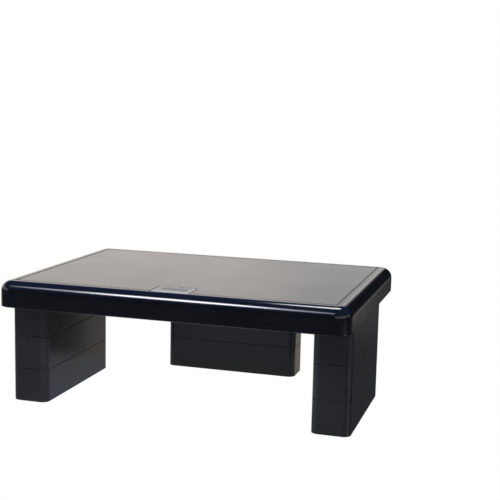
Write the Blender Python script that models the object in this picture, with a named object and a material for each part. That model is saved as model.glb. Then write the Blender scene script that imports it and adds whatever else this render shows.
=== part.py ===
# Height-adjustable monitor riser: a skirted deck on three legs, each a stack of three plug-in blocks.
# Metres, +Z up. The origin is on the floor under the middle of the deck, and the front faces -Y.

from math import cos, pi, radians, sin

import bmesh
import bpy

# Deck: a flat top with a rounded-over edge and a skirt all round.
DECK_WIDTH = 0.445
DECK_DEPTH = 0.316
DECK_HEIGHT = 0.032
DECK_CORNER_RADIUS = 0.019
DECK_EDGE_RADIUS = 0.0135
DECK_WALL = 0.003

# Border groove in the top, and the pocket that holds the badge.
GROOVE_INSET = 0.0185
GROOVE_WIDTH = 0.0016
GROOVE_DEPTH = 0.0007
BADGE_WIDTH = 0.047
BADGE_DEPTH = 0.035
BADGE_THICKNESS = 0.001
BADGE_CORNER_RADIUS = 0.0025
BADGE_EDGE_INSET = 0.0137
BADGE_RIM = 0.003
BADGE_FIELD_DEPTH = 0.0004

# Stiffening ribs under the deck.
RIB_THICKNESS = 0.002
RIB_HEIGHT = 0.012
RIBS_ACROSS = 3
RIBS_TO_REAR_SOCKET = 4

# Leg blocks: a hollow box, open below, with a plug on top.
BLOCK_NAMES = ("upper", "middle", "lower")
BLOCK_LENGTH = 0.189
BLOCK_WIDTH = 0.048
BLOCK_HEIGHT = 0.0425
BLOCK_CORNER_RADIUS = 0.0095
BLOCK_WALL = 0.0026
BLOCK_WEB = 0.0024
BLOCK_RIB_HEIGHT = 0.006
BLOCK_RIBS = 3
PLUG_HEIGHT = 0.010
PLUG_WALL = 0.002
PLUG_LEAD = 0.0008
SEAM_CHAMFER = 0.0005

# Where the legs stand under the deck.
SIDE_LEG_INSET = 0.0025
SIDE_LEG_FRONT_INSET = 0.0355
REAR_LEG_INSET = 0.0025

# Foot caps and their rubber pads.
CAP_FLOOR = 0.003
CAP_HEIGHT = 0.008
CAP_WALL = 0.002
PAD_RADIUS = 0.006
PAD_THICKNESS = 0.002
PAD_STAND = 0.001
PAD_CHAMFER = 0.0004
PAD_END_MARGIN = 0.016
PAD_SIDE_MARGIN = 0.013

# Fits.
FIT_CLEARANCE = 0.0003
SEAT_GAP = 0.0003
BADGE_MOAT = 0.0009
PAD_SEAT_CLEARANCE = 0.0003
UNION_OVERLAP = 0.001

# Mesh fineness.
CORNER_STEPS = 6
EDGE_STEPS = 6
PAD_SIDES = 24
SMALLEST_RADIUS = 0.0012
SHARP_ANGLE = radians(35)

BLOCK_PITCH = BLOCK_HEIGHT + SEAT_GAP
RIM_HEIGHT = PAD_STAND + len(BLOCK_NAMES) * BLOCK_PITCH
PLUG_INSET = BLOCK_WALL + FIT_CLEARANCE


# Materials

def plastic(name, colour, roughness):
    """Opaque plastic or rubber with an even colour."""
    material = bpy.data.materials.new(name)
    material.use_nodes = True
    shader = material.node_tree.nodes["Principled BSDF"]
    shader.inputs["Base Color"].default_value = (*colour, 1.0)
    shader.inputs["Roughness"].default_value = roughness
    shader.inputs["Metallic"].default_value = 0.0
    return material


# Meshes

def rounded_rectangle(width, depth, radius):
    """Points of a rounded rectangle round the origin, anticlockwise from its +X side."""
    corner_sides = ((1, 1), (-1, 1), (-1, -1), (1, -1))
    points = []
    for quarter, (side_x, side_y) in enumerate(corner_sides):
        centre_x = side_x * (width / 2 - radius)
        centre_y = side_y * (depth / 2 - radius)
        for step in range(CORNER_STEPS + 1):
            angle = (quarter + step / CORNER_STEPS) * pi / 2
            points.append((centre_x + radius * cos(angle), centre_y + radius * sin(angle)))
    return points


def lofted_mesh(name, width, depth, radius, profile, tube=False):
    """Skin through rounded rectangles, one for each (inset, height) pair of the profile.

    Both ends are capped, or joined to each other for a tube.
    """
    model = bmesh.new()
    rings = []
    for inset, height in profile:
        corner_radius = max(radius - inset, SMALLEST_RADIUS)
        outline = rounded_rectangle(width - 2 * inset, depth - 2 * inset, corner_radius)
        rings.append([model.verts.new((x, y, height)) for x, y in outline])
    pairs = list(zip(rings, rings[1:]))
    if tube:
        pairs.append((rings[-1], rings[0]))
    else:
        model.faces.new(rings[0])
        model.faces.new(rings[-1])
    for ring, next_ring in pairs:
        for index, corner in enumerate(ring):
            model.faces.new((ring[index - 1], corner, next_ring[index], next_ring[index - 1]))
    return finished_mesh(name, model)


def box_mesh(name, low, high):
    """Box between two corners."""
    model = bmesh.new()
    bmesh.ops.create_cube(model, size=1.0)
    sizes = [top - bottom for bottom, top in zip(low, high)]
    centre = [(top + bottom) / 2 for bottom, top in zip(low, high)]
    bmesh.ops.scale(model, vec=sizes, verts=model.verts)
    bmesh.ops.translate(model, vec=centre, verts=model.verts)
    return finished_mesh(name, model)


def disc_mesh(name, radius, height, chamfer):
    """Upright disc standing on z = 0, with its edges chamfered."""
    model = bmesh.new()
    sides = {"segments": PAD_SIDES, "radius1": radius, "radius2": radius}
    bmesh.ops.create_cone(model, cap_ends=True, depth=height, **sides)
    bmesh.ops.translate(model, vec=(0, 0, height / 2), verts=model.verts)
    if chamfer:
        rims = [edge for edge in model.edges if edge.verts[0].co.z == edge.verts[1].co.z]
        bmesh.ops.bevel(model, geom=rims, offset=chamfer, segments=1, affect="EDGES")
    return finished_mesh(name, model)


def finished_mesh(name, model):
    """Turn a bmesh into a mesh with its faces outwards and only its real edges sharp."""
    bmesh.ops.recalc_face_normals(model, faces=model.faces)
    mesh = bpy.data.meshes.new(name)
    model.to_mesh(mesh)
    model.free()
    mesh.shade_smooth()
    mesh.set_sharp_from_angle(angle=SHARP_ANGLE)
    return mesh


# Objects

def add_object(name, mesh, material=None, parent=None, location=(0, 0, 0), turn=0.0):
    """Link an object to the scene, placed in its parent's frame."""
    item = bpy.data.objects.new(name, mesh)
    bpy.context.collection.objects.link(item)
    item.parent = parent
    item.location = location
    item.rotation_euler.z = turn
    if material:
        mesh.materials.clear()
        mesh.materials.append(material)
    return item


def add_guide(name, mesh, parent=None, location=(0, 0, 0), turn=0.0):
    """Object that only shapes another one."""
    guide = add_object(name, mesh, None, parent, location, turn)
    guide.hide_render = True
    guide.display_type = "WIRE"
    return guide


def combine(target, operation, guide):
    """Join or cut the target with a guide, or with every guide of a collection at once."""
    modifier = target.modifiers.new(guide.name, "BOOLEAN")
    modifier.operation = operation
    modifier.solver = "EXACT"
    if isinstance(guide, bpy.types.Collection):
        modifier.operand_type = "COLLECTION"
        modifier.collection = guide
    else:
        modifier.object = guide


def gather(name, guides):
    """Move guides into a collection of their own."""
    collection = bpy.data.collections.new(name)
    bpy.context.scene.collection.children.link(collection)
    for guide in guides:
        guide.users_collection[0].objects.unlink(guide)
        collection.objects.link(guide)
    return collection


def evaluated_mesh(item):
    """Mesh of an object with its modifiers applied."""
    bpy.context.view_layer.update()
    graph = bpy.context.evaluated_depsgraph_get()
    mesh = bpy.data.meshes.new_from_object(item.evaluated_get(graph))
    mesh.shade_smooth()
    mesh.set_sharp_from_angle(angle=SHARP_ANGLE)
    return mesh


# Deck

def edge_arc(shrink):
    """(inset, height) pairs of the rounded-over edge, moved inwards by shrink, from skirt to top."""
    radius = DECK_EDGE_RADIUS - shrink
    centre_height = DECK_HEIGHT - DECK_EDGE_RADIUS
    arc = []
    for step in range(EDGE_STEPS + 1):
        angle = step / EDGE_STEPS * pi / 2
        arc.append((DECK_EDGE_RADIUS - radius * cos(angle), centre_height + radius * sin(angle)))
    return arc


def deck_profile():
    """Section up the skirt's outside, over the rounded edge and through the border groove."""
    rim = [(SEAM_CHAMFER, 0), (0, SEAM_CHAMFER)]
    groove_foot = GROOVE_WIDTH / 4
    groove = [
        (GROOVE_INSET, DECK_HEIGHT),
        (GROOVE_INSET + groove_foot, DECK_HEIGHT - GROOVE_DEPTH),
        (GROOVE_INSET + GROOVE_WIDTH - groove_foot, DECK_HEIGHT - GROOVE_DEPTH),
        (GROOVE_INSET + GROOVE_WIDTH, DECK_HEIGHT),
    ]
    return rim + edge_arc(0) + groove


def leg_places():
    """Each leg's centre and turn under the deck; a block's long side lies along X before the turn."""
    side_x = DECK_WIDTH / 2 - SIDE_LEG_INSET - BLOCK_WIDTH / 2
    side_y = SIDE_LEG_FRONT_INSET + BLOCK_LENGTH / 2 - DECK_DEPTH / 2
    rear_y = DECK_DEPTH / 2 - REAR_LEG_INSET - BLOCK_WIDTH / 2
    return {
        "left": ((-side_x, side_y, 0), pi / 2),
        "right": ((side_x, side_y, 0), pi / 2),
        "rear": ((0, rear_y, 0), 0.0),
    }


def spread(low, high, count):
    """Evenly spaced positions between two limits, both left free."""
    return [low + (high - low) * (index + 1) / (count + 1) for index in range(count)]


def deck_ribs():
    """Boxes of the rib grid.

    Some run across between the side legs' sockets. The others run back from the front skirt: the
    middle ones to the rear leg's socket, the outer ones past its end walls to the rear skirt.
    """
    bay_x = DECK_WIDTH / 2 - SIDE_LEG_INSET - BLOCK_WIDTH + UNION_OVERLAP
    front = DECK_WALL - UNION_OVERLAP - DECK_DEPTH / 2
    socket_front = DECK_DEPTH / 2 - REAR_LEG_INSET - BLOCK_WIDTH + UNION_OVERLAP
    end_wall_x = BLOCK_LENGTH / 2 - BLOCK_WALL / 2
    outer_x = (end_wall_x + bay_x) / 2
    runs = [(x, socket_front) for x in spread(-end_wall_x, end_wall_x, RIBS_TO_REAR_SOCKET)]
    runs += [(x, -front) for x in (-outer_x, -end_wall_x, end_wall_x, outer_x)]
    low = DECK_HEIGHT - DECK_WALL - RIB_HEIGHT
    half = RIB_THICKNESS / 2
    across = spread(front + SIDE_LEG_FRONT_INSET, socket_front, RIBS_ACROSS)
    boxes = [((-bay_x, y - half, low), (bay_x, y + half, DECK_HEIGHT)) for y in across]
    boxes += [((x - half, front, low), (x + half, rear, DECK_HEIGHT)) for x, rear in runs]
    return boxes


def add_deck(material):
    """Deck moulding: its outer form less the hollow, which goes round the leg sockets and the ribs."""
    size = (DECK_WIDTH, DECK_DEPTH, DECK_CORNER_RADIUS)
    deck = add_object("deck_shell", lofted_mesh("deck_shell", *size, deck_profile()), material)
    deck.location.z = RIM_HEIGHT

    guides = []
    socket_size = (BLOCK_LENGTH, BLOCK_WIDTH, BLOCK_CORNER_RADIUS)
    low = -2 * UNION_OVERLAP
    socket_profile = [(0, low), (0, DECK_HEIGHT), (BLOCK_WALL, DECK_HEIGHT), (BLOCK_WALL, low)]
    socket_mesh = lofted_mesh("leg_socket", *socket_size, socket_profile, tube=True)
    for side, (location, turn) in leg_places().items():
        guides.append(add_guide(side + "_socket", socket_mesh, deck, location, turn))
    for index, (corner_low, corner_high) in enumerate(deck_ribs()):
        rib_mesh = box_mesh("deck_rib", corner_low, corner_high)
        guides.append(add_guide(f"deck_rib_{index + 1}", rib_mesh, deck))

    hollow_profile = [(DECK_WALL, -UNION_OVERLAP)] + edge_arc(DECK_WALL)
    hollow = add_guide("deck_hollow", lofted_mesh("deck_hollow", *size, hollow_profile), deck)
    combine(hollow, "DIFFERENCE", gather("sockets_and_ribs", guides))
    combine(deck, "DIFFERENCE", hollow)

    pocket_profile = [(0, -BADGE_THICKNESS - SEAT_GAP), (0, UNION_OVERLAP)]
    pocket_size = (
        BADGE_WIDTH + 2 * BADGE_MOAT,
        BADGE_DEPTH + 2 * BADGE_MOAT,
        BADGE_CORNER_RADIUS + BADGE_MOAT,
    )
    pocket_mesh = lofted_mesh("badge_pocket", *pocket_size, pocket_profile)
    combine(deck, "DIFFERENCE", add_guide("badge_pocket", pocket_mesh, deck, badge_place()))
    return deck


# Badge

def badge_place():
    """Middle of the badge's top face, in the deck's frame."""
    front = BADGE_EDGE_INSET + BADGE_MOAT + BADGE_DEPTH / 2 - DECK_DEPTH / 2
    return (0, front, DECK_HEIGHT)


def add_badge(deck, material):
    """Blank plate, flush with the top, with a sunk field inside a plain rim."""
    profile = [
        (0, -BADGE_THICKNESS),
        (0, 0),
        (BADGE_RIM, 0),
        (BADGE_RIM + BADGE_FIELD_DEPTH, -BADGE_FIELD_DEPTH),
    ]
    mesh = lofted_mesh("badge", BADGE_WIDTH, BADGE_DEPTH, BADGE_CORNER_RADIUS, profile)
    add_object("badge", mesh, material, deck, badge_place())


# Leg blocks

def block_profile():
    """Section from the web's underside, down the inside, up the outside and round the plug."""
    top = BLOCK_HEIGHT
    plug_top = top + PLUG_HEIGHT
    return [
        (BLOCK_WALL, top - BLOCK_WEB),
        (BLOCK_WALL, 0),
        (SEAM_CHAMFER, 0),
        (0, SEAM_CHAMFER),
        (0, top - SEAM_CHAMFER),
        (SEAM_CHAMFER, top),
        (PLUG_INSET, top),
        (PLUG_INSET, plug_top - PLUG_LEAD),
        (PLUG_INSET + PLUG_LEAD, plug_top),
        (PLUG_INSET + PLUG_WALL, plug_top),
        (PLUG_INSET + PLUG_WALL, top),
    ]


def block_mesh():
    """Mesh that all the blocks share: a lofted shell with shallow ribs under its web."""
    shell_mesh = lofted_mesh("block", BLOCK_LENGTH, BLOCK_WIDTH, BLOCK_CORNER_RADIUS, block_profile())
    shell = add_guide("block_pattern", shell_mesh)
    reach_y = BLOCK_WIDTH / 2 - BLOCK_WALL + UNION_OVERLAP
    high = BLOCK_HEIGHT - UNION_OVERLAP
    low = BLOCK_HEIGHT - BLOCK_WEB - BLOCK_RIB_HEIGHT
    for index, x in enumerate(spread(-BLOCK_LENGTH / 2, BLOCK_LENGTH / 2, BLOCK_RIBS)):
        corner_low = (x - RIB_THICKNESS / 2, -reach_y, low)
        corner_high = (x + RIB_THICKNESS / 2, reach_y, high)
        rib = add_guide(f"block_rib_{index + 1}", box_mesh("block_rib", corner_low, corner_high))
        combine(shell, "UNION", rib)
    return evaluated_mesh(shell)


# Feet

def cap_mesh():
    """Mesh of a foot cap: a shallow tray that plugs into the lowest block, with sunk seats for the pads."""
    length = BLOCK_LENGTH - 2 * PLUG_INSET
    width = BLOCK_WIDTH - 2 * PLUG_INSET
    profile = [
        (0, 0),
        (0, CAP_HEIGHT - PLUG_LEAD),
        (PLUG_LEAD, CAP_HEIGHT),
        (CAP_WALL, CAP_HEIGHT),
        (CAP_WALL, CAP_FLOOR),
    ]
    corner_radius = BLOCK_CORNER_RADIUS - PLUG_INSET
    tray = add_guide("cap_pattern", lofted_mesh("cap", length, width, corner_radius, profile))
    seat_height = PAD_THICKNESS - PAD_STAND + SEAT_GAP
    seat = disc_mesh("pad_seat", PAD_RADIUS + PAD_SEAT_CLEARANCE, seat_height + UNION_OVERLAP, 0)
    for index, (x, y) in enumerate(pad_places()):
        cutter = add_guide(f"pad_seat_{index + 1}", seat, None, (x, y, -UNION_OVERLAP))
        combine(tray, "DIFFERENCE", cutter)
    return evaluated_mesh(tray)


def pad_places():
    """Centres of the four pads under one foot."""
    x = BLOCK_LENGTH / 2 - PAD_END_MARGIN
    y = BLOCK_WIDTH / 2 - PAD_SIDE_MARGIN
    return [(-x, -y), (x, -y), (x, y), (-x, y)]


# Assembly

def add_leg(side, location, turn, deck, meshes, materials):
    """One leg: its blocks hang one from the other, and the lowest holds the cap and the pads."""
    parent = deck
    place = (location[0], location[1], -BLOCK_PITCH)
    for level in BLOCK_NAMES:
        name = f"{side}_leg_{level}_block"
        parent = add_object(name, meshes["block"], materials["block"], parent, place, turn)
        place = (0, 0, -BLOCK_PITCH)
        turn = 0.0
    cap = add_object(f"{side}_foot_cap", meshes["cap"], materials["cap"], parent)
    for index, (x, y) in enumerate(pad_places()):
        name = f"{side}_foot_pad_{index + 1}"
        add_object(name, meshes["pad"], materials["pad"], cap, (x, y, -PAD_STAND))


def build():
    """Clear the scene and add the riser."""
    for item in list(bpy.data.objects):
        bpy.data.objects.remove(item)
    materials = {
        "deck": plastic("deck_plastic", (0.020, 0.021, 0.025), 0.32),
        "badge": plastic("badge_plastic", (0.100, 0.098, 0.098), 0.35),
        "block": plastic("block_plastic", (0.018, 0.019, 0.023), 0.38),
        "cap": plastic("cap_plastic", (0.022, 0.022, 0.024), 0.55),
        "pad": plastic("pad_rubber", (0.030, 0.030, 0.030), 0.85),
    }
    meshes = {
        "block": block_mesh(),
        "cap": cap_mesh(),
        "pad": disc_mesh("pad", PAD_RADIUS, PAD_THICKNESS, PAD_CHAMFER),
    }
    deck = add_deck(materials["deck"])
    add_badge(deck, materials["badge"])
    for side, (location, turn) in leg_places().items():
        add_leg(side, location, turn, deck, meshes, materials)


build()
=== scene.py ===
# Monitor riser: a skirted deck on three legs of stacked plug-in blocks, finished for a studio still
from math import cos, pi, prod, radians, sin

import bpy
import numpy as np
from mathutils import Matrix, Vector


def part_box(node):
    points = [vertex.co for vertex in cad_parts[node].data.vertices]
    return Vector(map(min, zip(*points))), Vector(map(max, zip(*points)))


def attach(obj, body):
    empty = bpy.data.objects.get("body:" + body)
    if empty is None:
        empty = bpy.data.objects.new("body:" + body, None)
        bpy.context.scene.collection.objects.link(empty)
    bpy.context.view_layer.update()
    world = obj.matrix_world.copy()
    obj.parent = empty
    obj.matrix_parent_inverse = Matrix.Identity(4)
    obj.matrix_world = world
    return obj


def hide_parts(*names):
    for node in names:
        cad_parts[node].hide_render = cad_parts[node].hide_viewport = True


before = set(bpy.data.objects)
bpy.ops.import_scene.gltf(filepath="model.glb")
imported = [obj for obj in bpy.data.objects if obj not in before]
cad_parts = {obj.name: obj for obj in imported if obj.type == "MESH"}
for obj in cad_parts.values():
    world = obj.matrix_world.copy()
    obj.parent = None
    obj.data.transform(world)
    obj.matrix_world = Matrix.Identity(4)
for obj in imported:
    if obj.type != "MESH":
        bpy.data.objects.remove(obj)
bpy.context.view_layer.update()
print("frame loaded with", len(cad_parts), "nodes")


def arc(inset, height, radius, start, end, steps, worn=0.0, zone=0.0):
    # part of a circle in the section: centre plus radius times the unit direction; worn swells mid-arc
    share = np.linspace(0, 1, steps + 1)
    angle = np.radians(start + (end - start) * share)
    worn = worn * np.sin(pi * share)
    zone = np.full(steps + 1, zone)
    return np.stack([inset + radius * np.cos(angle), height + radius * np.sin(angle), worn, zone], 1)


def point(inset, height, zone=0.0):
    return np.array([[inset, height, 0.0, zone]])


def loft(size, section, steps, ring=False):
    # section carried round a rounded rectangle: each point is a corner's centre plus the corner
    # radius, less the inset, times the unit direction, at the section's height
    leastCorner, cornerWear = 0.0012, 0.35
    width, depth, radius = size
    section = np.concatenate(section)
    inset, height = section[:, 0, None, None], section[:, 1]
    share = np.linspace(0, 1, steps + 1)
    if max(width, depth) <= 2 * radius:
        share = share[:-1]  # a round disc has no flats between its corners
    turn = (np.arange(4)[:, None] + share) * pi / 2
    sideX = np.array([1, -1, -1, 1])[:, None]
    sideY = np.array([1, 1, -1, -1])[:, None]
    corner = np.maximum(radius - inset, leastCorner)
    x = (sideX * (width / 2 - inset - corner) + corner * np.cos(turn)).reshape(len(section), -1)
    y = (sideY * (depth / 2 - inset - corner) + corner * np.sin(turn)).reshape(len(section), -1)
    z = np.broadcast_to(height[:, None], x.shape)
    bend = np.tile(np.sin(pi * share), 4)
    worn = section[:, 2, None] + cornerWear * bend * (section[:, 0, None] < radius / 2)
    zone = np.broadcast_to(section[:, 3, None], x.shape)
    return skin(np.stack([x, y, z], -1), worn, zone, ring)


def skin(grid, worn, zone, ring):
    # grid of rows round a loop: quads between neighbouring rows, and the first and last rows are
    # capped, or joined where the section closes on itself
    rows, columns = grid.shape[:2]
    index = np.arange(rows * columns).reshape(rows, columns)
    low = index if ring else index[:-1]
    high = np.roll(index, -1, 0) if ring else index[1:]
    quads = np.stack([low, np.roll(low, -1, 1), np.roll(high, -1, 1), high], -1).reshape(-1, 4)
    faces = quads.tolist()
    if not ring:
        faces += [index[0, ::-1].tolist(), index[-1].tolist()]
    return {"points": grid.reshape(-1, 3), "faces": faces, "worn": worn.ravel(), "zone": zone.ravel()}


def bar(start, end, half, low, high, lip=0.0005):
    # rounded-bottom rib: a U section carried along a straight line, point = place on the line plus
    # the section's offset sideways and its height upwards; its top may follow a ceiling
    start, end = np.array(start, float), np.array(end, float)
    length = np.linalg.norm(end - start)
    along = (end - start) / length
    side = np.array([along[1], -along[0]])
    left = arc(-half + lip, low + lip, lip, 180, 270, 4)
    right = arc(half - lip, low + lip, lip, 270, 360, 4)
    section = np.concatenate([point(-half, low + 2 * lip), left, right, point(half, low + 2 * lip)])
    endRun, endSteps = 0.014, 8
    nearEnd = endRun * (1 - np.cos(np.linspace(0, pi / 2, endSteps + 1)))
    share = np.concatenate([nearEnd, length - nearEnd[::-1]]) if callable(high) else np.array([0, length])
    places = start + along * share[:, None]
    flat = places[:, None, :] + side * section[None, :, 0, None]
    tall = np.repeat(section[None, :, 1], len(places), 0)
    tall[:, [0, -1]] = np.reshape(high(places) if callable(high) else high, (-1, 1))
    grid = np.concatenate([flat, tall[..., None]], -1)
    blank = np.zeros(grid.shape[:2])
    return skin(grid, blank, blank, False)


def placed(shell, x=0.0, y=0.0, z=0.0, quarter=False):
    # quarter turn about the upright axis first, and then the move
    points = shell["points"]
    if quarter:
        points = points @ np.array([[0, 1, 0], [-1, 0, 0], [0, 0, 1]], float)
    return {**shell, "points": points + np.array([x, y, z])}


def settle(piece):
    # keep the result of the live modifiers as the piece's own mesh
    bpy.context.view_layer.update()
    graph = bpy.context.evaluated_depsgraph_get()
    finished = piece.evaluated_get(graph)
    mesh = bpy.data.meshes.new_from_object(finished, preserve_all_data_layers=True, depsgraph=graph)
    piece.modifiers.clear()
    piece.data = mesh
    return mesh


def flatten(piece, sharp):
    # broad faces keep their own normals, so only the small rounds carry the bend
    piece.data.shade_smooth()
    piece.data.set_sharp_from_angle(angle=radians(sharp))
    evened = piece.modifiers.new("even", "WEIGHTED_NORMAL")
    evened.keep_sharp, evened.weight = True, 50
    settle(piece)


def build(name, shells, material=None, body=None, node=None, sharp=40):
    # one mesh from closed shells, with their wear and zone marks kept on the points
    starts = np.cumsum([0] + [len(shell["points"]) for shell in shells])
    faces = [[start + i for i in face] for start, shell in zip(starts, shells) for face in shell["faces"]]
    mesh = bpy.data.meshes.new(name)
    mesh.from_pydata(np.concatenate([shell["points"] for shell in shells]).tolist(), [], faces)
    for mark in ("worn", "zone"):
        values = np.concatenate([shell[mark] for shell in shells]).astype(np.float32)
        mesh.attributes.new(mark, "FLOAT", "POINT").data.foreach_set("value", values)
    piece = bpy.data.objects.new(name, mesh)
    bpy.context.scene.collection.objects.link(piece)
    if material:
        mesh.materials.append(material)
        flatten(piece, sharp)
        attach(piece, body)
        if node:
            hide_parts(node)
    return piece


def carve(piece, cutters, zoneOf=None, sharp=40):
    # cut the closed cutters out of the piece, keep the result and mark its zone afresh by place
    tools = build(piece.name + "Cutter", cutters)
    cut = piece.modifiers.new("carve", "BOOLEAN")
    cut.object, cut.operation, cut.solver = tools, "DIFFERENCE", "EXACT"
    mesh = settle(piece)
    bpy.data.objects.remove(tools)
    if zoneOf:
        points = np.empty(len(mesh.vertices) * 3, np.float32)
        mesh.vertices.foreach_get("co", points)
        zone = zoneOf(points.reshape(-1, 3)).astype(np.float32)
        mesh.attributes["zone"].data.foreach_set("value", zone)
    flatten(piece, sharp)


class Wire:
    # a shader socket that Python's operators join to others through Math nodes
    def __init__(self, tree, socket=None):
        self.tree, self.socket = tree, socket

    def node(self, kind, settings=None, sockets=None, out=0):
        made = self.tree.nodes.new("ShaderNode" + kind)
        for key, value in (settings or {}).items():
            setattr(made, key, value)
        for key, value in (sockets or {}).items():
            if isinstance(value, Wire):
                self.tree.links.new(value.socket, made.inputs[key])
            else:
                made.inputs[key].default_value = value
        return Wire(self.tree, made.outputs[out])

    def maths(self, operation, *values):
        return self.node("Math", {"operation": operation}, dict(enumerate(values)))

    def __add__(self, other): return self.maths("ADD", self, other)
    def __radd__(self, other): return self.maths("ADD", other, self)
    def __sub__(self, other): return self.maths("SUBTRACT", self, other)
    def __rsub__(self, other): return self.maths("SUBTRACT", other, self)
    def __mul__(self, other): return self.maths("MULTIPLY", self, other)
    def __rmul__(self, other): return self.maths("MULTIPLY", other, self)

    def between(self, start, end):
        # smooth step from 0 to 1 as this value goes from start to end, up or down
        sockets = {"Value": self, "From Min": start, "From Max": end}
        return self.node("MapRange", {"interpolation_type": "SMOOTHSTEP"}, sockets)

    def blend(self, low, high):
        # colour that goes from low to high as this value goes from 0 to 1
        return self.node("Mix", {"data_type": "RGBA"}, {0: self, 6: low, 7: high}, out=2)


def colour(red, green, blue):
    return (red, green, blue, 1.0)


def noise(place, scale, detail=3.0, roughness=0.5):
    sockets = {"Vector": place, "Scale": scale, "Detail": detail, "Roughness": roughness}
    return place.node("TexNoise", {}, sockets)


def plastic(name, look):
    # moulded plastic: tint with faint clouds, grain on the flats, slow waves from the mould, a dry
    # sheen that comes and goes, hair scratches, and paler rubbed edges
    material = bpy.data.materials.new(name)
    material.use_nodes = True
    tree = material.node_tree
    shader = tree.nodes["Principled BSDF"]
    start = Wire(tree)
    place = start.node("TexCoord", {}, {}, out=3)
    worn = start.node("Attribute", {"attribute_name": "worn"}, {}, out=2)
    zone = start.node("Attribute", {"attribute_name": "zone"}, {}, out=2)

    clouds = noise(place, look["cloudScale"], 4.0, 0.55)
    specks = noise(place, look["grainScale"], 2.0, 0.6)
    pitSockets = {"Vector": place, "Scale": look["grainScale"] * 0.8}
    pits = start.node("TexVoronoi", {"feature": "SMOOTH_F1"}, pitSockets)
    waves = noise(place, look["waveScale"], 1.0)
    turned = {"Vector": place, "Rotation": (0.3, 0.2, 0.5), "Scale": (9, 260, 140)}
    stretched = start.node("Mapping", {}, turned)
    hairs = noise(stretched, 1.0, 3.0, 0.7).between(0.66, 0.74)
    rubbed = worn * noise(place, 160.0, 3.0).between(0.35, 0.65)

    grainShare = look["grainElsewhere"] + (look["grain"] - look["grainElsewhere"]) * zone
    height = (specks * 0.7 + pits * 0.5) * grainShare * 0.001 + waves * (look["wave"] * 0.001)
    bump = start.node("Bump", {}, {"Strength": 1.0, "Distance": 1.0, "Height": height})
    dull = look["gloss"] + (look["flatGloss"] - look["gloss"]) * zone
    dull = dull + (clouds - 0.5) * look["sheen"] + hairs * 0.03 + specks * zone * 0.04
    tint = clouds.between(0.3, 0.7).blend(colour(*look["tint"]), colour(*look["cloudTint"]))
    tint = (zone * look["zoneShare"]).blend(tint, colour(*look["zoneTint"]))
    tint = (rubbed * look["rub"]).blend(tint, colour(*look["rubTint"]))
    tint = (hairs * look["scratch"]).blend(tint, colour(*look["rubTint"]))

    for socket, wire in (("Base Color", tint), ("Roughness", dull), ("Normal", bump)):
        tree.links.new(wire.socket, shader.inputs[socket])
    shader.inputs["IOR"].default_value = 1.5
    shader.inputs["Specular IOR Level"].default_value = look["shine"]
    return material


deckLook = {
    "tint": (0.0026, 0.0027, 0.0042), "cloudTint": (0.0036, 0.0037, 0.0054),
    "zoneTint": (0.016, 0.015, 0.015), "zoneShare": 0.9, "rubTint": (0.05, 0.05, 0.055), "rub": 0.35,
    "scratch": 0.035, "gloss": 0.13, "flatGloss": 0.24, "sheen": 0.06, "shine": 0.75,
    "grainScale": 1100.0, "grain": 0.035, "grainElsewhere": 0.002, "cloudScale": 11.0,
    "waveScale": 22.0, "wave": 0.05,
}
deck = {
    "cornerRadius": 0.019, "edgeRadius": 0.0135, "wall": 0.003, "rimRound": 0.0007,
    "grooveInset": 0.0185, "grooveWidth": 0.0016, "grooveDepth": 0.0007, "grooveLip": 0.0003,
    "badgeRadius": 0.0025, "moat": 0.0013, "pocketDepth": 0.0015, "ribHalf": 0.001, "ribHeight": 0.012,
    "cornerSteps": 18, "edgeSteps": 26, "wallHold": 0.001, "rimHold": 0.0006, "flatHold": 0.0005,
    "edgeHold": 0.0004, "ceilingInset": 0.0008, "pocketLip": 0.0002, "pocketSteps": 6,
}
low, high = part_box("deck_shell")
deckWidth, deckDepth, deckHeight = high.x - low.x, high.y - low.y, high.z - low.z
deckSize = (deckWidth, deckDepth, deck["cornerRadius"])
deckPlastic = plastic("deckPlastic", deckLook)


def deckSection():
    # ceiling, inner curve, inner wall, rim, outer wall, outer curve, flat, groove and flat again
    wall, edge, rim, lip = deck["wall"], deck["edgeRadius"], deck["rimRound"], deck["grooveLip"]
    top, centre = deckHeight, deckHeight - edge
    inner, outer = deck["grooveInset"], deck["grooveInset"] + deck["grooveWidth"]
    wallHold, rimHold, flatHold = deck["wallHold"], deck["rimHold"], deck["flatHold"]
    return [
        point(edge + deck["ceilingInset"], top - wall),
        arc(edge, centre, edge - wall, 90, 180, 8),
        point(wall, centre - wallHold), point(wall, rim + rimHold),
        arc(wall - rim, rim, rim, 0, -90, 4, 0.8), arc(rim, rim, rim, 270, 180, 4, 1.0),
        point(0, rim + rimHold), point(0, centre - wallHold),
        arc(edge, centre, edge, 180, 90, deck["edgeSteps"]),
        point(edge + deck["edgeHold"], top, 1.0), point(inner - lip - flatHold, top, 1.0),
        arc(inner - lip, top - lip, lip, 90, 0, 4, 0.7, 1.0),
        arc(inner + lip, top - deck["grooveDepth"] + lip, lip, 180, 270, 4, 0, 1.0),
        arc(outer - lip, top - deck["grooveDepth"] + lip, lip, 270, 360, 4, 0, 1.0),
        arc(outer + lip, top - lip, lip, 180, 90, 4, 0.7, 1.0),
        point(outer + lip + flatHold, top, 1.0),
    ]


def pocketSection(depth, lip):
    # straight wall that flares into a small round at the mouth
    mouth = arc(-lip, -lip, lip, 180, 90, 3, 0, 1.0)
    return [point(0, -depth, 1.0), point(0, -lip, 1.0), mouth, point(-lip, 0.001, 1.0)]


def onTop(places):
    # 1 on the level top and in its groove, 0 elsewhere, the pocket's floor included
    inset = np.minimum(deckWidth / 2 - np.abs(places[:, 0]), deckDepth / 2 - np.abs(places[:, 1]))
    return (inset > deck["edgeRadius"] + 0.0002) & (places[:, 2] > high.z - 0.001)


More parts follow.
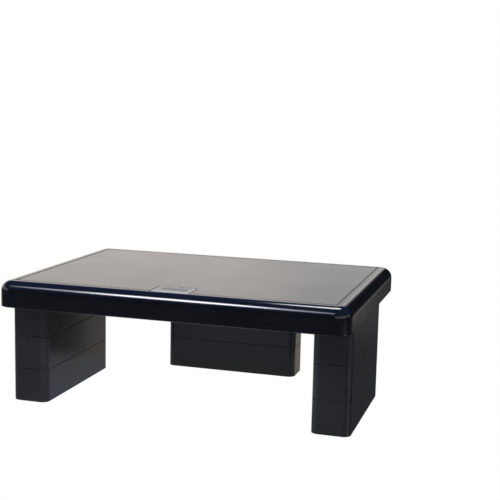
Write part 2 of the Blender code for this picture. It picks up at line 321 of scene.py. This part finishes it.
moulding = loft(deckSize, deckSection(), deck["cornerSteps"])
moulding = [placed(moulding, z=low.z)]
deckMoulding = build("deckMoulding", moulding, deckPlastic, "deck", "deck_shell")
badgeLow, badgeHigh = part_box("badge")
badgeMiddle = (badgeLow + badgeHigh) / 2
moat = deck["moat"]
pocketWidth, pocketLength = (badgeHigh - badgeLow).xy + Vector((2 * moat, 2 * moat))
pocketSize = (pocketWidth, pocketLength, deck["badgeRadius"] + moat)
pocket = loft(pocketSize, pocketSection(deck["pocketDepth"], deck["pocketLip"]), deck["pocketSteps"])
carve(deckMoulding, [placed(pocket, badgeMiddle.x, badgeMiddle.y, high.z)], onTop)
print("deck moulding built")


def ceiling(places):
    # middle of the deck's wall above a place: level, then down the rounded edge as a circle
    edge, radius = deck["edgeRadius"], deck["edgeRadius"] - deck["wall"] / 2
    inset = np.minimum(deckWidth / 2 - np.abs(places[:, 0]), deckDepth / 2 - np.abs(places[:, 1]))
    drop = np.clip(edge - inset, 0, radius)
    return high.z - edge + np.sqrt(radius ** 2 - drop ** 2)


def blockPlace(side, level):
    # middle, long and short side and whether the block is turned, from the frame's own box
    boxLow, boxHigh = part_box(f"{side}_leg_{level}_block")
    size = boxHigh - boxLow
    middle = (boxLow + boxHigh) / 2
    return {
        "x": middle.x, "y": middle.y, "z": boxLow.z,
        "long": max(size.x, size.y), "short": min(size.x, size.y), "turned": size.y > size.x,
    }


sides = ("left", "right", "rear")
levels = ("upper", "middle", "lower")
legPlaces = {side: blockPlace(side, "upper") for side in sides}
socket = {"wall": 0.0026, "round": 0.0005, "roundHeight": 0.0006, "radius": 0.0095, "steps": 10}
underLow = high.z - deck["wall"] - deck["ribHeight"]
shells = []
for side in sides:
    spot = legPlaces[side]
    tall, bend, bendHeight = deckHeight - deck["wall"] / 2, socket["round"], socket["roundHeight"]
    section = [
        point(socket["wall"], tall), arc(socket["wall"] - bend, bendHeight, bend, 0, -90, 3),
        arc(bend, bendHeight, bend, 270, 180, 3), point(0, tall),
    ]
    shell = loft((spot["long"], spot["short"], socket["radius"]), section, socket["steps"], ring=True)
    shell = placed(shell, spot["x"], spot["y"], low.z, spot["turned"])
    shell["points"][:, 2] = np.minimum(shell["points"][:, 2], ceiling(shell["points"]))
    shells.append(shell)
rearSpot, rightSpot = legPlaces["rear"], legPlaces["right"]
ribSink = 0.001  # how far a rib's end goes into a socket's wall
bayX = rightSpot["x"] - rightSpot["short"] / 2 + ribSink
socketFront = rearSpot["y"] - rearSpot["short"] / 2 + ribSink
frontWall, rearWall = low.y + deck["wall"] / 2, high.y - deck["wall"] / 2
endX = rearSpot["long"] / 2 - socket["wall"] / 2
outerX = (endX + bayX) / 2
sideFront = rightSpot["y"] - rightSpot["long"] / 2
across = sideFront + (socketFront - sideFront) * np.array([1, 2, 3]) / 4
runs = [((-bayX, y), (bayX, y)) for y in across]
runs += [((x, frontWall), (x, socketFront)) for x in (2 * np.arange(1, 5) / 5 - 1) * endX]
runs += [((x, frontWall), (x, rearWall)) for x in (-outerX, -endX, endX, outerX)]
shells += [bar(start, end, deck["ribHalf"], underLow, ceiling) for start, end in runs]
build("deckUnderside", shells, deckPlastic, "deck", "deck_shell")
print("deck ribs and sockets built")


badgeLook = {
    "tint": (0.050, 0.050, 0.052), "cloudTint": (0.062, 0.062, 0.062),
    "zoneTint": (0.34, 0.34, 0.33), "zoneShare": 1.0, "rubTint": (0.5, 0.5, 0.5), "rub": 0.3,
    "scratch": 0.1, "gloss": 0.34, "flatGloss": 0.26, "sheen": 0.06, "shine": 0.5,
    "grainScale": 1500.0, "grain": 0.01, "grainElsewhere": 0.02, "cloudScale": 60.0,
    "waveScale": 60.0, "wave": 0.01,
}
badge = {
    "rim": 0.003, "fieldDepth": 0.0004, "edge": 0.0002, "fieldZone": 0.7,
    "panelRadius": 0.0015, "panelEdge": 0.00005,
    "panelInset": 0.0065, "panelDepth": 0.0125, "panelShift": 0.0045, "panelHeight": 0.00015,
}
badgeSize = (badgeHigh.x - badgeLow.x, badgeHigh.y - badgeLow.y, deck["badgeRadius"])
badgeTall, rim, edge, sunk = badgeHigh.z - badgeLow.z, badge["rim"], badge["edge"], badge["fieldDepth"]
badgeSection = [
    point(0, 0, 1.0), point(0, badgeTall - edge - 0.0002, 1.0),
    arc(edge, badgeTall - edge, edge, 180, 90, 4, 0.8, 1.0), point(edge + 0.0003, badgeTall, 1.0),
    point(rim - edge - 0.0002, badgeTall, 1.0),
    arc(rim - edge, badgeTall - edge, edge, 90, 0, 4, 0.8, 1.0),
    point(rim, badgeTall - sunk, badge["fieldZone"]),
    point(rim + 0.0004, badgeTall - sunk, badge["fieldZone"]),
]
plate = placed(loft(badgeSize, badgeSection, 8), badgeMiddle.x, badgeMiddle.y, badgeLow.z)
panelSize = (badgeSize[0] - 2 * badge["panelInset"], badge["panelDepth"], badge["panelRadius"])
panelTop, panelEdge = badgeTall - sunk + badge["panelHeight"], badge["panelEdge"]
panelSection = [
    point(0, badgeTall - sunk - 0.0003), point(0, panelTop - panelEdge),
    point(panelEdge, panelTop), point(10 * panelEdge, panelTop),
]
panelY = badgeMiddle.y + badge["panelShift"]
panel = placed(loft(panelSize, panelSection, 6), badgeMiddle.x, panelY, badgeLow.z)
build("badgePlate", [plate, panel], plastic("badgePlastic", badgeLook), "deck", "badge")
print("badge built")


blockLook = {
    "tint": (0.0132, 0.0134, 0.0156), "cloudTint": (0.0166, 0.0168, 0.0192),
    "zoneTint": (0.012, 0.012, 0.014), "zoneShare": 0.0, "rubTint": (0.05, 0.05, 0.055), "rub": 0.4,
    "scratch": 0.08, "gloss": 0.24, "flatGloss": 0.24, "sheen": 0.08, "shine": 0.25,
    "grainScale": 1300.0, "grain": 0.01, "grainElsewhere": 0.008, "cloudScale": 16.0,
    "waveScale": 26.0, "wave": 0.06,
}
block = {
    "height": 0.0425, "radius": 0.0095, "wall": 0.0026, "web": 0.0024, "plugInset": 0.0029,
    "plugHeight": 0.010, "plugWall": 0.002, "plugLead": 0.0008, "seamRound": 0.0003,
    "wideSeams": {
        "leftMiddle": 0.0008, "rightLower": 0.0008, "leftLower": 0.00045, "rightMiddle": 0.00045,
    },
    "ribHalf": 0.001, "ribHeight": 0.006, "cornerSteps": 12, "plugRound": 0.0003, "webHold": 0.0005,
    "seamHold": 0.0004, "wallHold": 0.0006,
}
blockPlastic = plastic("blockPlastic", blockLook)


def seamRound(side, level):
    # round of the seam at the top of a block, a little wider where the blocks sit less tight
    return block["wideSeams"].get(side + level.capitalize(), block["seamRound"])


def blockSection(seam, rise):
    # web underside, inner wall, seam rim, outer wall, shoulder, plug outside, plug top, plug inside
    wall, top, web = block["wall"], block["height"], block["height"] - block["web"]
    plug, lead, bend = block["plugInset"], block["plugLead"], block["plugRound"]
    webHold, seamHold, wallHold = block["webHold"], block["seamHold"], block["wallHold"]
    crown, inside = top + block["plugHeight"], plug + block["plugWall"]
    return [
        point(wall + webHold, web), point(wall, web - webHold),
        point(wall, seam + seamHold), arc(wall - seam, seam, seam, 0, -90, 4, 0.5),
        arc(seam, seam, seam, 270, 180, 4, 1.0), point(0, seam + wallHold),
        point(0, top - rise - wallHold), arc(rise, top - rise, rise, 180, 90, 4, 1.0),
        point(rise + seamHold, top), point(plug - seamHold, top),
        arc(plug - bend, top + bend, bend, 270, 360, 3), point(plug, top + bend + webHold),
        point(plug, crown - lead - seamHold), arc(plug + lead, crown - lead, lead, 180, 90, 4, 0.6),
        arc(inside - bend, crown - bend, bend, 90, 0, 3), point(inside, top + webHold),
        point(inside + webHold, top),
    ]


def legBlock(spot, section):
    body = loft((spot["long"], spot["short"], block["radius"]), section, block["cornerSteps"])
    reach = spot["short"] / 2 - block["wall"] + 0.001
    ribLow, ribHigh = block["height"] - block["web"] - block["ribHeight"], block["height"] - 0.001
    places = np.array([-1, 0, 1]) * spot["long"] / 4
    ribs = [bar((x, -reach), (x, reach), block["ribHalf"], ribLow, ribHigh) for x in places]
    return [placed(shell, spot["x"], spot["y"], spot["z"], spot["turned"]) for shell in [body] + ribs]


for side in sides:
    seam = block["seamRound"]
    for level in reversed(levels):
        # the seam under a block takes the round of the top of the block below
        rise = seamRound(side, level)
        shells = legBlock(blockPlace(side, level), blockSection(seam, rise))
        name = side + level.capitalize() + "Block"
        build(name, shells, blockPlastic, f"{side}_{level}", f"{side}_leg_{level}_block")
        seam = rise
print("leg blocks built")


capLook = {**blockLook, "tint": (0.012, 0.012, 0.013), "gloss": 0.5, "grainElsewhere": 0.02, "wave": 0.02}
padLook = {
    "tint": (0.016, 0.016, 0.016), "cloudTint": (0.026, 0.025, 0.024),
    "zoneTint": (0.02, 0.02, 0.02), "zoneShare": 0.0, "rubTint": (0.09, 0.088, 0.085), "rub": 0.6,
    "scratch": 0.1, "gloss": 0.82, "flatGloss": 0.82, "sheen": 0.1, "shine": 0.3,
    "grainScale": 2400.0, "grain": 0.02, "grainElsewhere": 0.02, "cloudScale": 300.0,
    "waveScale": 200.0, "wave": 0.01,
}
cap = {
    "floor": 0.003, "wall": 0.002, "lead": 0.0008, "radius": 0.0066, "seatGap": 0.0003, "round": 0.0004,
    "wallRound": 0.0003, "hold": 0.0005, "steps": 8,
}
pad = {
    "radius": 0.006, "round": 0.0004, "ringIn": 0.0026, "ringHalf": 0.0005, "ringDeep": 0.0003,
    "steps": 12,
}
capPlastic = plastic("capPlastic", capLook)
padRubber = plastic("padRubber", padLook)


def capSection(tall):
    # underside, outer edge, outer wall, rounded lead, inner wall and the tray's floor
    lead, wall, low, top, hold = cap["lead"], cap["wall"], cap["round"], cap["wallRound"], cap["hold"]
    return [
        point(2 * hold, 0), arc(low, low, low, 270, 180, 4, 0.6), point(0, 2 * hold),
        point(0, tall - lead - low), arc(lead, tall - lead, lead, 180, 90, 4, 0.4),
        arc(wall - top, tall - top, top, 90, 0, 3), point(wall, cap["floor"] + hold),
        point(wall + hold, cap["floor"]),
    ]


def padSection(tall):
    # rounded disc with one shallow ring sunk in the face that grips
    edge, ring, half, deep = pad["round"], pad["ringIn"], pad["ringHalf"], pad["ringDeep"]
    return [
        point(ring + half + deep, 0), point(ring + half, 0), point(ring + deep, deep),
        point(ring - deep, deep), point(ring - half, 0), arc(edge, edge, edge, 270, 180, 4, 1.0),
        arc(edge, tall - edge, edge, 180, 90, 4), point(2 * edge, tall),
    ]


for side in sides:
    capLow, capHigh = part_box(f"{side}_foot_cap")
    size, middle = capHigh - capLow, (capLow + capHigh) / 2
    turned = size.y > size.x
    trayShape = (max(size.x, size.y), min(size.x, size.y), cap["radius"])
    tray = loft(trayShape, capSection(size.z), cap["steps"])
    tray = placed(tray, middle.x, middle.y, capLow.z, turned)
    body = side + "_lower"
    footCap = build(side + "FootCap", [tray], capPlastic, body, side + "_foot_cap")
    seats = []
    for number in range(1, 5):
        node = f"{side}_foot_pad_{number}"
        padLow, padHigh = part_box(node)
        spot, tall = (padLow + padHigh) / 2, padHigh.z - padLow.z
        wide = 2 * pad["radius"]
        disc = loft((wide, wide, pad["radius"]), padSection(tall), pad["steps"])
        disc = placed(disc, spot.x, spot.y, padLow.z)
        build(f"{side}FootPad{number}", [disc], padRubber, body, node)
        seatRadius, roof = pad["radius"] + cap["seatGap"], padHigh.z + cap["seatGap"]
        seatSection = [point(0, capLow.z - 0.001), point(0, roof)]
        seat = loft((2 * seatRadius, 2 * seatRadius, seatRadius), seatSection, pad["steps"])
        seats.append(placed(seat, spot.x, spot.y))
    carve(footCap, seats)
print("feet built")


studio = {
    "eye": (0.4299, -1.2710, 0.3973), "yaw": 0.28471, "pitch": 0.15078, "roll": 0.02206, "lens": 74.34,
    "floorTint": (0.86, 0.86, 0.86), "floorGlow": 0.88, "floorHeight": -0.0004,
    "backdrop": (1.0, 1.0, 1.0),
}


def aimedCamera():
    # view direction from yaw and pitch, then the frame rolls about it
    yaw, pitch, roll = studio["yaw"], studio["pitch"], studio["roll"]
    forward = Vector((-sin(yaw) * cos(pitch), cos(yaw) * cos(pitch), -sin(pitch)))
    right = Vector((cos(yaw), sin(yaw), 0.0))
    up = right.cross(forward)
    across, upward = cos(roll) * right + sin(roll) * up, cos(roll) * up - sin(roll) * right
    lens = bpy.data.cameras.new("studioCamera")
    lens.lens, lens.sensor_width = studio["lens"], 36.0
    camera = bpy.data.objects.new("studioCamera", lens)
    bpy.context.scene.collection.objects.link(camera)
    turn = Matrix((across, upward, -forward)).transposed()
    camera.matrix_world = Matrix.Translation(studio["eye"]) @ turn.to_4x4()
    bpy.context.scene.camera = camera


def areaLight(name, look):
    light = bpy.data.lights.new(name, "AREA")
    light.shape, light.size, light.size_y = "ELLIPSE", look["size"][0], look["size"][1]
    light.energy, light.color = look["power"], look["tint"]
    lamp = bpy.data.objects.new(name, light)
    bpy.context.scene.collection.objects.link(lamp)
    lamp.location = look["at"]
    toward = Vector(look["toward"]) - Vector(look["at"])
    lamp.rotation_euler = toward.to_track_quat("-Z", "Y").to_euler()


lamps = {
    "frontBox": {
        "at": (-0.315, -0.67, 0.93), "toward": (-0.04, -0.15, 0.155), "size": (0.43, 0.25),
        "power": 3.9, "tint": (0.98, 0.98, 1.0),
    },
    "frontGlow": {
        "at": (-0.33, -0.69, 0.95), "toward": (-0.02, -0.15, 0.155), "size": (0.80, 0.32),
        "power": 3.0, "tint": (0.86, 0.90, 1.0),
    },
    "rearStrip": {
        "at": (0.115, 0.22, 1.06), "toward": (0.15, -0.15, 0.155), "size": (0.47, 0.33),
        "power": 4.0, "tint": (1.0, 0.98, 0.98),
    },
}


surroundings = {
    "lowTint": (0.016, 0.017, 0.022), "highTint": (0.035, 0.082, 0.25), "rise": (0.2, 0.6),
    "wall": (("x", 0.02, -0.12), ("y", 0.2, 0.55), ("z", 0.42, 0.24)),
    "leftWallTint": (1.42, 1.33, 1.25), "rightWallTint": (1.04, 1.02, 0.975), "wallTurn": (-0.32, -0.18),
    "ground": (("y", 0.5, 0.8), ("z", -0.235, -0.265)), "groundTint": (0.05, 0.05, 0.054),
    "side": (("x", 0.148, 0.182), ("y", 0.5, 0.8), ("z", -0.24, -0.205), ("z", -0.06, -0.14)),
    "sideTint": (0.22, 0.21, 0.20),
    "front": (("y", -0.3, -0.7), ("z", 0.1, -0.25)), "frontTint": (0.04, 0.045, 0.06),
    "band": (("z", 0.1, 0.17), ("z", 0.5, 0.3)), "bandTint": (0.95, 0.93, 0.9),
    "bandLeft": (("x", -0.6, -0.75),), "bandFront": (("x", -0.1, 0.05), ("y", -0.25, -0.45)),
    "bandRight": (("x", 0.8, 0.9),), "bandRightShare": 0.6,
    "slant": (0.96, -0.28),
    "window": (("slant", 0.90, 0.97), ("z", -0.5, -0.35), ("z", -0.262, -0.285)),
    "windowTint": (3.0, 3.4, 4.2),
}


def paintWorld():
    # dim blue room, warm walls low behind and on the other sides, a pale window low on the right;
    # the camera itself sees plain white
    world = bpy.data.worlds.new("studioWorld")
    bpy.context.scene.world = world
    world.use_nodes = True
    tree = world.node_tree
    tree.nodes.clear()
    start = Wire(tree)
    parts = start.node("SeparateXYZ", {}, {"Vector": start.node("TexCoord")}).socket.node.outputs
    x, y, z = (Wire(tree, part) for part in parts)
    slantX, slantY = surroundings["slant"]
    axes = {"x": x, "y": y, "z": z, "slant": x * slantX + y * slantY}

    def patch(name):
        # product of the smooth steps that bound a patch of the surroundings
        return prod(axes[axis].between(begin, end) for axis, begin, end in surroundings[name])

    def tint(name):
        return colour(*surroundings[name + "Tint"])

    glow = z.between(*surroundings["rise"]).blend(tint("low"), tint("high"))
    wallTint = x.between(*surroundings["wallTurn"]).blend(tint("leftWall"), tint("rightWall"))
    glow = patch("wall").blend(glow, wallTint)
    for name in ("ground", "side", "front"):
        glow = patch(name).blend(glow, tint(name))
    sides = patch("bandLeft") + patch("bandFront") + patch("bandRight") * surroundings["bandRightShare"]
    glow = (patch("band") * sides).blend(glow, tint("band"))
    glow = patch("window").blend(glow, tint("window"))
    lit = start.node("Background", {}, {"Color": glow, "Strength": 1.0})
    plain = start.node("Background", {}, {"Color": colour(*studio["backdrop"]), "Strength": 1.0})
    camera = start.node("LightPath")
    mixed = start.node("MixShader", {}, {0: camera, 1: lit, 2: plain})
    output = tree.nodes.new("ShaderNodeOutputWorld")
    tree.links.new(mixed.socket, output.inputs["Surface"])


def levelSheet(name, corners, height):
    # flat rectangle that belongs to the studio
    (left, front), (right, rear) = corners
    outline = [(left, front), (right, front), (right, rear), (left, rear)]
    mesh = bpy.data.meshes.new(name)
    mesh.from_pydata([(x, y, height) for x, y in outline], [], [(0, 1, 2, 3)])
    sheet = bpy.data.objects.new(name, mesh)
    bpy.context.scene.collection.objects.link(sheet)
    material = bpy.data.materials.new(name + "Paint")
    material.use_nodes = True
    mesh.materials.append(material)
    return sheet, material.node_tree


table = {
    "corners": ((-0.5, -0.5), (0.213, 0.62)), "height": -0.0002,
    "coolTint": (0.20, 0.22, 0.26), "patchTint": (0.48, 0.55, 0.68), "warmTint": (0.50, 0.46, 0.40),
    "warmFrom": (-0.12, 0.22), "patchLeft": (-0.24, -0.18), "patchRight": (0.1, 0.06),
}


def tableGlow():
    # what the gloss of the legs picks up from the table: cool in front, warm and brighter behind
    sheet, tree = levelSheet("tableGlow", table["corners"], table["height"])
    start = Wire(tree)
    place = start.node("TexCoord", out=3)
    axes = start.node("SeparateXYZ", {}, {"Vector": place}).socket.node.outputs
    across, depth = Wire(tree, axes[0]), Wire(tree, axes[1])
    patch = across.between(*table["patchLeft"]) * across.between(*table["patchRight"])
    cool = patch.blend(colour(*table["coolTint"]), colour(*table["patchTint"]))
    tint = depth.between(*table["warmFrom"]).blend(cool, colour(*table["warmTint"]))
    shader = tree.nodes["Principled BSDF"]
    shader.inputs["Base Color"].default_value = colour(0, 0, 0)
    shader.inputs["Emission Strength"].default_value = 1.0
    tree.links.new(tint.socket, shader.inputs["Emission Color"])
    sheet.visible_camera = sheet.visible_diffuse = sheet.visible_shadow = False


def paleFloor():
    # flat sheet under the pads that lights the object from below and merges with the backdrop, so
    # legs pulled down past it stay in sight
    floor, tree = levelSheet("paleFloor", ((-4, -4), (4, 4)), studio["floorHeight"])
    shader = tree.nodes["Principled BSDF"]
    shader.inputs["Base Color"].default_value = colour(*studio["floorTint"])
    shader.inputs["Roughness"].default_value = 0.9
    shader.inputs["Specular IOR Level"].default_value = 0.1
    shader.inputs["Emission Color"].default_value = colour(1.0, 1.0, 1.0)
    shader.inputs["Emission Strength"].default_value = studio["floorGlow"]
    floor.visible_glossy = floor.visible_camera = False


aimedCamera()
paintWorld()
paleFloor()
tableGlow()
for name, look in lamps.items():
    areaLight(name, look)
bpy.context.scene.view_settings.view_transform = "Standard"
print("studio ready")
